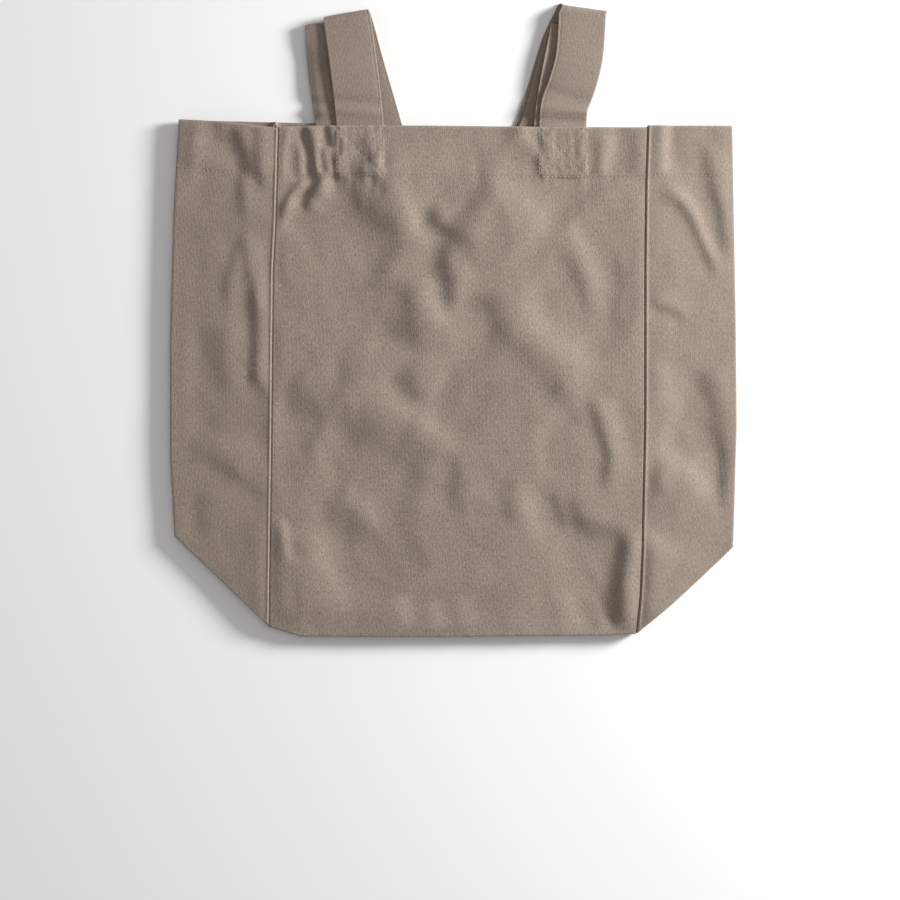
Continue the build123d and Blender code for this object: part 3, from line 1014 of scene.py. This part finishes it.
def build_strap(name, legs, runs, turn, z_leg, z_loop, seed):
    """One handle: a long folded strap, sewn in at both ends and folded back behind the bag."""
    P, A, N, marks = strap_path(legs, runs, turn, z_leg, z_loop)
    run = run_of(P)
    verts, uvs = [], []
    for p, a, up, along in zip(P, A, N, run):
        ring = strap_ring(name, seed, p, a, up, along, z_leg, z_loop)
        verts += ring[0]
        uvs += ring[1]
    section = strap_section()
    count = len(section)
    # Paler along both edges of the strap: partly wear, partly a painted highlight where the edges catch
    # the light
    edge = np.array([bell(np.abs(s[0]) - STRAP_W / 2, 1.5) for s in section])
    spans = dict(zip(STRAP_PARTS, zip(marks[:-1], marks[1:])))
    pieces = {}
    for part, (first, last) in spans.items():
        faces = tube_faces(last - first, count, part)
        span = slice(first * count, (last + 1) * count)
        wear_and_edge_light = np.tile(edge, last - first + 1)
        pieces[part] = mesh_piece(f"{name}_{part}_strap", verts[span], faces, uvs[span], wear_and_edge_light)
    return pieces, (P, A, N, run), spans


# ---------------------------------------------------------------- thread

STITCH_RINGS, STITCH_SIDES = 5, 6
# How far a stitch slants, stands up in its middle, and sinks in at its ends
STITCH_JOG, STITCH_RISE, STITCH_SINK = 0.12, 0.30, 0.12


def stitch(spine, up, at, width, jog):
    """Points and places of one stitch: a short swelling tube that dips into the cloth."""
    way = spine[-1] - spine[0]
    way /= np.linalg.norm(way)
    across = np.cross(way, up)
    verts, uvs = [], []
    for r in range(STITCH_RINGS):
        t = r / (STITCH_RINGS - 1)
        swell = math.sin(math.pi * min(max(t, 0.06), 0.94)) ** 0.5
        lift = STITCH_RISE * math.sin(math.pi * t) - STITCH_SINK
        centre = spine[r] + up * lift + across * jog * (t - 0.5)
        for s in range(STITCH_SIDES):
            a = 2 * math.pi * s / STITCH_SIDES
            ring = across * math.cos(a) * width / 2 + up * math.sin(a) * width / 2.4
            verts.append(centre + ring * swell)
            uvs.append((at[r], width * s))
    return verts, uvs


def stitch_faces(start):
    faces = []
    for r in range(STITCH_RINGS - 1):
        a, b = start + r * STITCH_SIDES, start + (r + 1) * STITCH_SIDES
        for s in range(STITCH_SIDES):
            k = (s + 1) % STITCH_SIDES
            faces.append((a + s, b + s, b + k, a + k))
    last = start + (STITCH_RINGS - 1) * STITCH_SIDES
    faces.append(tuple(start + s for s in range(STITCH_SIDES)))
    faces.append(tuple(last + s for s in reversed(range(STITCH_SIDES))))
    return faces


def stitches(name, lines, pitch=3.3, length=2.5, width=0.55):
    """Rows of single stitches along lines of (point, up)."""
    verts, faces, uvs = [], [], []
    for line in lines:
        points, ups = (np.array(part, float) for part in zip(*line))
        run = run_of(points)
        total = int(run[-1] / pitch)
        for n in range(total):
            middle = (n + 0.5) * run[-1] / total
            at = middle + length * (np.linspace(0, 1, STITCH_RINGS) - 0.5)
            spine = np.stack([np.interp(at, run, points[:, k]) for k in range(3)], -1)
            up = np.array([np.interp(middle, run, ups[:, k]) for k in range(3)])
            jog = STITCH_JOG * math.sin(12.9 * n + 3.1 * len(verts))
            faces += stitch_faces(len(verts))
            made = stitch(spine, up / np.linalg.norm(up), at, width, jog)
            verts += made[0]
            uvs += made[1]
    return mesh_piece(name, verts, faces, uvs)


def on_cloth(xs, ys, part, back=False):
    """Points on the outer face of the front or back, with their ups."""
    xs, ys = np.array(xs, float), np.array(ys, float)
    at = xs[None, :], ys[None, :]
    zs = (back_z(*at) if back else front_z(*at, part != "panel"))[0]
    lifted = ys + rise(xs, ys, part, back)
    return [((x, y, z), (0, 0, -1 if back else 1)) for x, y, z in zip(xs, lifted, zs)]


def box_lines(side, level):
    shift = 0.0 if level == "front" else BACK_LEGS[side][1][1] - FRONT_LEGS[side][1][1]
    lines = []
    for start, end in box_runs(side):
        t = np.linspace(0.03, 0.97, 24)
        xs = start[0] + (end[0] - start[0]) * t + shift
        ys = start[1] + (end[1] - start[1]) * t
        lines.append(on_cloth(xs, ys, "panel", level == "back"))
    return lines


# ---------------------------------------------------------------- materials


def add_node(tree, kind, inputs=None, **settings):
    """A new shader node. An input is a value, or the output of another node."""
    node = tree.nodes.new(f"ShaderNode{kind}")
    for name, value in settings.items():
        setattr(node, name, value)
    for name, value in (inputs or {}).items():
        if isinstance(value, bpy.types.NodeSocket):
            tree.links.new(value, node.inputs[name])
        else:
            node.inputs[name].default_value = value
    return node


def principled(name, **inputs):
    """A new material, with a principled shader on its output."""
    material = bpy.data.materials.new(name)
    material.use_nodes = True
    tree = material.node_tree
    tree.nodes.clear()
    shader = add_node(tree, "BsdfPrincipled", inputs)
    add_node(tree, "OutputMaterial", {"Surface": shader.outputs[0]})
    return material, tree, shader


def math_node(tree, kind, a, b):
    return add_node(tree, "Math", {0: a, 1: b}, operation=kind).outputs[0]


def weighed(tree, parts, middle=0.0):
    """The sum of sources, each taken from its middle and multiplied by its weight."""
    total = None
    for source, weight in parts:
        if middle:
            source = math_node(tree, "SUBTRACT", source, middle)
        term = math_node(tree, "MULTIPLY", source, weight)
        total = term if total is None else math_node(tree, "ADD", total, term)
    return total


def scaled(tree, source, scale):
    return add_node(tree, "Mapping", {"Vector": source, "Scale": scale}).outputs["Vector"]


def cloth_places(tree):
    """The cloth's own millimetres, from the UV map."""
    uv = add_node(tree, "UVMap", uv_map="UVMap")
    return scaled(tree, uv.outputs["UV"], (1 / MM, 1 / MM, 1 / MM))


def noise_node(tree, source, scale, detail=3.0, rough=0.55):
    inputs = {"Vector": source, "Scale": scale, "Detail": detail, "Roughness": rough}
    return add_node(tree, "TexNoise", inputs).outputs["Fac"]


def threads_node(tree, source, direction, scale, wobble):
    inputs = {"Vector": source, "Scale": scale, "Distortion": wobble, "Detail": 2.0, "Detail Scale": 1.5}
    return add_node(tree, "TexWave", inputs, wave_type="BANDS", bands_direction=direction).outputs["Fac"]


def paint(tree, shader, colour, bright):
    """The colour, made lighter and darker by a brightness of about 1."""
    grey = add_node(tree, "CombineColor", {"Red": bright, "Green": bright, "Blue": bright})
    inputs = {"Factor": 1.0, "A": (*colour, 1), "B": grey.outputs[0]}
    mix = add_node(tree, "Mix", inputs, data_type="RGBA", blend_type="MULTIPLY")
    tree.links.new(mix.outputs["Result"], shader.inputs["Base Color"])


def emboss(tree, shader, height, strength, distance):
    bump = add_node(tree, "Bump", {"Strength": strength, "Distance": distance, "Height": height})
    tree.links.new(bump.outputs["Normal"], shader.inputs["Normal"])


THREAD_PITCH = 1.05
WARP_SHARE, WEFT_SHARE = 0.6, 0.4
# The last is how much paler the cloth is painted at its edges: partly wear, partly a painted highlight
# where the edges catch the light
MOTTLE, WEAVE, WORN_AND_LIT_EDGE = 0.22, 0.13, 0.16


def canvas_material(name, colour, slub, fleck):
    """Plain-woven canvas: slubby threads, faint mottling and flecks, and pale edges that are partly wear
    and partly a painted highlight where the edges catch the light.
    """
    sheen = {"Sheen Weight": 0.12, "Sheen Roughness": 0.6, "Specular IOR Level": 0.22}
    material, tree, shader = principled(name, **sheen)
    cloth = cloth_places(tree)
    wave_scale = math.pi / (10 * THREAD_PITCH)
    warp = threads_node(tree, cloth, "X", wave_scale, 1.2)
    weft = threads_node(tree, cloth, "Y", wave_scale, 1.2)
    weave = weighed(tree, [(warp, WARP_SHARE), (weft, WEFT_SHARE)])
    long_slubs = noise_node(tree, scaled(tree, cloth, (1.0, 0.24, 1)), 1.25, 1.0, 0.5)
    cross_slubs = noise_node(tree, scaled(tree, cloth, (0.3, 1.0, 1)), 1.15, 1.0, 0.5)
    mottle = noise_node(tree, cloth, 0.03, 4.0, 0.6)
    flecks = noise_node(tree, cloth, 0.95, 2.0, 0.7)
    slubs = [(long_slubs, slub * 2.4), (cross_slubs, slub * 0.8)]
    tone = weighed(tree, [*slubs, (mottle, MOTTLE), (flecks, fleck), (weave, WEAVE)], 0.5)
    # Paler at the edges, from the per-point edge mask: partly wear, partly a painted highlight where the
    # edges catch the light
    worn_and_lit = add_node(tree, "Attribute", attribute_name="worn_and_lit").outputs["Fac"]
    tone = math_node(tree, "ADD", tone, math_node(tree, "MULTIPLY", worn_and_lit, WORN_AND_LIT_EDGE))
    paint(tree, shader, colour, math_node(tree, "ADD", tone, 1.0))
    rough = math_node(tree, "ADD", math_node(tree, "MULTIPLY", flecks, 0.16), 0.8)
    tree.links.new(rough, shader.inputs["Roughness"])
    height = weighed(tree, [(weave, 0.4), (long_slubs, 0.8), (cross_slubs, 0.4)])
    emboss(tree, shader, height, 0.55, 0.00045)
    return material


def thread_material(name, colour):
    """Twisted sewing thread."""
    material, tree, shader = principled(name, **{"Roughness": 0.7, "Sheen Weight": 0.1})
    places = cloth_places(tree)
    twist = threads_node(tree, places, "DIAGONAL", 1.6, 0.4)
    tone = weighed(tree, [(twist, 0.25), (noise_node(tree, places, 0.2), 0.3)])
    paint(tree, shader, colour, math_node(tree, "ADD", tone, 0.75))
    emboss(tree, shader, twist, 0.4, 0.0001)
    return material


BODY_COLOUR = (0.256, 0.207, 0.168)
STRAP_COLOUR = (0.254, 0.204, 0.166)
THREAD_COLOUR = (0.33, 0.272, 0.226)

body_cloth = canvas_material("body_canvas", BODY_COLOUR, slub=0.4, fleck=1.15)
gusset_cloth = canvas_material("gusset_canvas", BODY_COLOUR, slub=0.34, fleck=0.95)
strap_cloth = canvas_material("strap_canvas", STRAP_COLOUR, slub=0.26, fleck=0.75)
thread = thread_material("thread", THREAD_COLOUR)


def dress(piece, material):
    piece.data.materials.clear()
    piece.data.materials.append(material)
    return piece


# ---------------------------------------------------------------- the bag

LOOP_PIECES = {level: f"{level}_handle_loop_strap" for level in ("front", "back")}


def add_panels():
    under = {
        "front": ["base_front_cloth", LOOP_PIECES["front"], LOOP_PIECES["back"]],
        "back": [LOOP_PIECES["back"], LOOP_PIECES["front"]],
    }
    for level, rests_on in under.items():
        piece = build_panel(f"{level}_panel_cloth", level == "front")
        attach(dress(piece, body_cloth), f"{level}_panel")
        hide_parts(f"{level}_panel", f"{level}_hem")


def add_corner(side, level):
    corner = dress(build_corner(side, level), gusset_cloth)
    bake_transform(corner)
    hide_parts(f"{side}_{level}_corner_fold")


def add_gussets():
    for side, sign in SIGNS.items():
        pieces = build_gusset(side)
        for piece in pieces.values():
            dress(piece, gusset_cloth)
        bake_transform(pieces["fold"])
        rests = {"front": f"{side}_front_corner_cloth", "back": "back_panel_cloth"}
        for level, under in rests.items():
            piece = pieces[level]
            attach(piece, f"{side}_gusset_{level}")
            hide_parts(f"{side}_gusset_{level}_half", f"{side}_gusset_{level}_hem")
            add_corner(side, level)


def add_base():
    pieces = build_base()
    for piece in pieces.values():
        dress(piece, body_cloth)
    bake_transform(pieces["fold"])
    for level, under in (("front", "base_back_cloth"), ("back", "back_panel_cloth")):
        piece = pieces[level]
        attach(piece, f"base_{level}")
        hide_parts(f"base_{level}_half")


# Each handle's legs, runs and turn, and how high its legs' middles lie over their CAD nodes' undersides
HANDLES = {
    "front": (FRONT_LEGS, FRONT_RUNS, FRONT_TURN, 0.4),
    "back": (BACK_LEGS, BACK_RUNS, BACK_TURN, 1.1),
}
LOOP_MIDDLE = 0.85
# Where the topstitching lies across a strap, as a share of its half width, and the share of the strap's
# length at each end, inside the hem, that is left without it
TOPSTITCH_PLACE = 0.89
SEWN_IN = 0.045


def topstitching(name, part, track, first, last):
    """The two lines of stitching near one edge of a strap, between two of its rings."""
    P, A, N, run = track
    if part == "left_leg":
        first = int(np.searchsorted(run, SEWN_IN * run[-1]))
    if part == "right_leg":
        last = int(np.searchsorted(run, (1 - SEWN_IN) * run[-1]))
    place, rings = TOPSTITCH_PLACE * STRAP_W / 2, range(first, last + 1)
    lines = [
        [(P[n] + A[n] * place + N[n] * face * (STRAP_T / 2 - 0.22), N[n] * face) for n in rings]
        for face in (-1, 1)
    ]
    sewn = stitches(f"{name}_{part}_topstitching", lines, pitch=3.4, length=2.6, width=0.5)
    return dress(sewn, thread)


def add_handle(level, seed):
    name, body = f"{level}_handle", f"{level}_panel"
    nodes = {
        "left_leg": f"{level}_left_strap",
        "right_leg": f"{level}_right_strap",
        "loop": f"{level}_handle_loop",
    }
    legs, runs, turn, leg_middle = HANDLES[level]
    z_leg = box_mm(nodes["left_leg"])[0][2] + leg_middle
    z_loop = box_mm(nodes["loop"])[0][2] + LOOP_MIDDLE
    pieces, track, spans = build_strap(name, legs, runs, turn, z_leg, z_loop, seed)
    for part, (first, last) in spans.items():
        piece = dress(pieces[part], strap_cloth)
        for cloth in (piece, topstitching(name, part, track, first, last)):
            if "fold" in part:
                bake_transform(cloth)
            else:
                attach(cloth, name if part == "loop" else body)
        if part not in nodes:
            continue
        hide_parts(nodes[part])


def add_box_stitching():
    for side in SIGNS:
        for level in ("front", "back"):
            piece = stitches(f"{level}_{side}_box_stitches", box_lines(side, level), width=0.65)
            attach(dress(piece, thread), f"{level}_panel")
            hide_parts(f"{level}_{side}_box_stitch")


def hem_rows():
    """Each row of hem stitching: level, start and end, part of the cloth, body and node."""
    left, right = (curve(STITCH_Y, SEAMS[side]) for side in SIGNS)
    yield "front", left + 1.6, right - 1.6, "panel", "front_panel", "front_hem_stitching"
    yield "back", 1.6 - HALF_W, HALF_W - 1.6, "panel", "back_panel", "back_hem_stitching"
    for side, sign in SIGNS.items():
        seam, fold = curve(STITCH_Y, SEAMS[side]), curve(STITCH_Y, FOLDS[side])
        for level, inner in (("front", seam), ("back", sign * HALF_W)):
            ends = sorted((inner + sign * 2.0, fold - sign * 3.4))
            body = f"{side}_gusset_{level}"
            yield level, *ends, side, body, f"{body}_stitching"


def add_hem_stitching():
    for level, start, end, part, body, node in hem_rows():
        xs = np.arange(start, end, 1.2)
        line = on_cloth(xs, xs * 0 + STITCH_Y, part, level == "back")
        piece = stitches(f"{node}_rows", [line], width=0.6)
        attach(dress(piece, thread), body)
        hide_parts(node)


# Seam allowances: how far they keep off the edges of the cloth, and how far inside it they lie
EDGE_GAP, SEAM_PAST = 1.2, 0.3
UNDER_FRONT, OVER_BACK = (1.25, 1.0), 1.9
FLAT_TO = 132
ALLOWANCE_WAVES = 0.2
ALLOWANCE_T = {"side seam": 0.6, "base seam": 0.5}


def add_allowance(node, level, X, Y, Z, body, kind):
    P = np.stack([X, Y + rise(X, Y, "panel", level == "back"), Z], -1).reshape(-1, 3)
    faces = grid_faces(*X.shape, flip=level == "front")
    uvs = P[:, :2] + GRAIN_FROM[kind]
    piece = mesh_piece(f"{node}_allowance", P, faces, uvs, np.zeros(len(P)))
    thicken(piece, ALLOWANCE_T[kind])
    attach(dress(piece, body_cloth), body)
    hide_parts(node)


def add_side_allowance(level, side):
    node, sign = f"{level}_{side}_seam", SIGNS[side]
    low, high = box_mm(node)
    outer, inner = (high[0], low[0]) if side == "right" else (low[0], high[0])
    outer = outer - EDGE_GAP * sign if level == "front" else sign * (HALF_W + SEAM_PAST)
    xs = np.linspace(inner + EDGE_GAP * sign, outer, 7)[::sign]
    X, Y = np.meshgrid(xs, steps((low[1], high[1], 6.0)))
    if level == "front":
        inside = front_z(np.clip(X, -FLAT_TO, FLAT_TO), Y) - UNDER_FRONT[0]
        Z = np.minimum(inside, front_z(X, Y) - UNDER_FRONT[1])
    else:
        Z = back_z(X, Y) + OVER_BACK
    Z = Z + ALLOWANCE_WAVES * field(X, Y, 6, 18, 21)
    add_allowance(node, level, X, Y, Z, f"{level}_panel", "side seam")


def add_base_allowance(level):
    node = f"base_{level}_seam"
    low, high = box_mm(node)
    X, Y = np.meshgrid(steps((low[0], high[0], 7.0)), np.linspace(low[1], high[1], 5))
    if level == "front":
        inside = front_z(X * IN_FROM_SEAM, np.maximum(Y, BOTTOM_Y + 8)) - BASE_INSIDE
        Z = np.minimum(inside, FRONT_TOP - 3.0) - 1.1
    else:
        Z = back_z(X * IN_FROM_SEAM, Y) + BASE_OVER_BACK + 0.3
    add_allowance(node, level, X, Y, Z, f"base_{level}", "base seam")


def add_seams():
    """Seam allowances inside the bag: strips of turned cloth along the side and base seams."""
    for level in ("front", "back"):
        for side in SIGNS:
            add_side_allowance(level, side)
        add_base_allowance(level)


add_panels()
add_gussets()
add_base()
add_handle("front", 1)
add_handle("back", 2)
add_box_stitching()
add_hem_stitching()
add_seams()

# ---------------------------------------------------------------- the stage

FLOOR_HALF = 6.0
WORLD_LIGHT = 0.33
CAMERA_LENS, SENSOR = 100, 36
# The camera stands so high that this much of the floor fills the width of the picture
SEEN_WIDTH, BAG_MIDDLE_Z = 0.7065, 0.011


def add_floor():
    mesh = bpy.data.meshes.new("floor")
    s = FLOOR_HALF
    mesh.from_pydata([(-s, -s, 0), (s, -s, 0), (s, s, 0), (-s, s, 0)], [], [(0, 1, 2, 3)])
    floor = bpy.data.objects.new("floor", mesh)
    bpy.context.scene.collection.objects.link(floor)
    paper = {"Base Color": (0.9, 0.9, 0.9, 1), "Roughness": 0.9}
    mesh.materials.append(principled("floor", **paper)[0])


def add_light(name, place, aim, size, power):
    data = bpy.data.lights.new(name, "AREA")
    data.shape = "DISK"
    data.size = size
    data.energy = power
    lamp = bpy.data.objects.new(name, data)
    lamp.location = place
    lamp.rotation_euler = (Vector(aim) - Vector(place)).to_track_quat("-Z", "Y").to_euler()
    bpy.context.scene.collection.objects.link(lamp)


def add_lights():
    world = bpy.data.worlds.new("studio")
    bpy.context.scene.world = world
    world.use_nodes = True
    background = world.node_tree.nodes["Background"]
    background.inputs["Color"].default_value = (1.0, 0.99, 0.975, 1)
    background.inputs["Strength"].default_value = WORLD_LIGHT
    add_light("key", (1.40, 0.46, 0.68), (0.02, -0.05, 0), 0.55, 45.0)
    add_light("fill", (0.1, 0.1, 2.6), (0, -0.1, 0), 2.2, 8.0)


def add_camera():
    """Straight above, as the flat bag is seen, turned half a degree."""
    data = bpy.data.cameras.new("camera")
    data.lens = CAMERA_LENS
    data.sensor_width = SENSOR
    camera = bpy.data.objects.new("camera", data)
    camera.location = (-0.0059, -0.1008, SEEN_WIDTH * CAMERA_LENS / SENSOR + BAG_MIDDLE_Z)
    camera.rotation_euler = (0, 0, math.radians(0.5))
    bpy.context.scene.collection.objects.link(camera)
    bpy.context.scene.camera = camera


add_floor()
add_lights()
add_camera()
bpy.context.scene.view_settings.view_transform = "Standard"

bpy.context.view_layer.update()
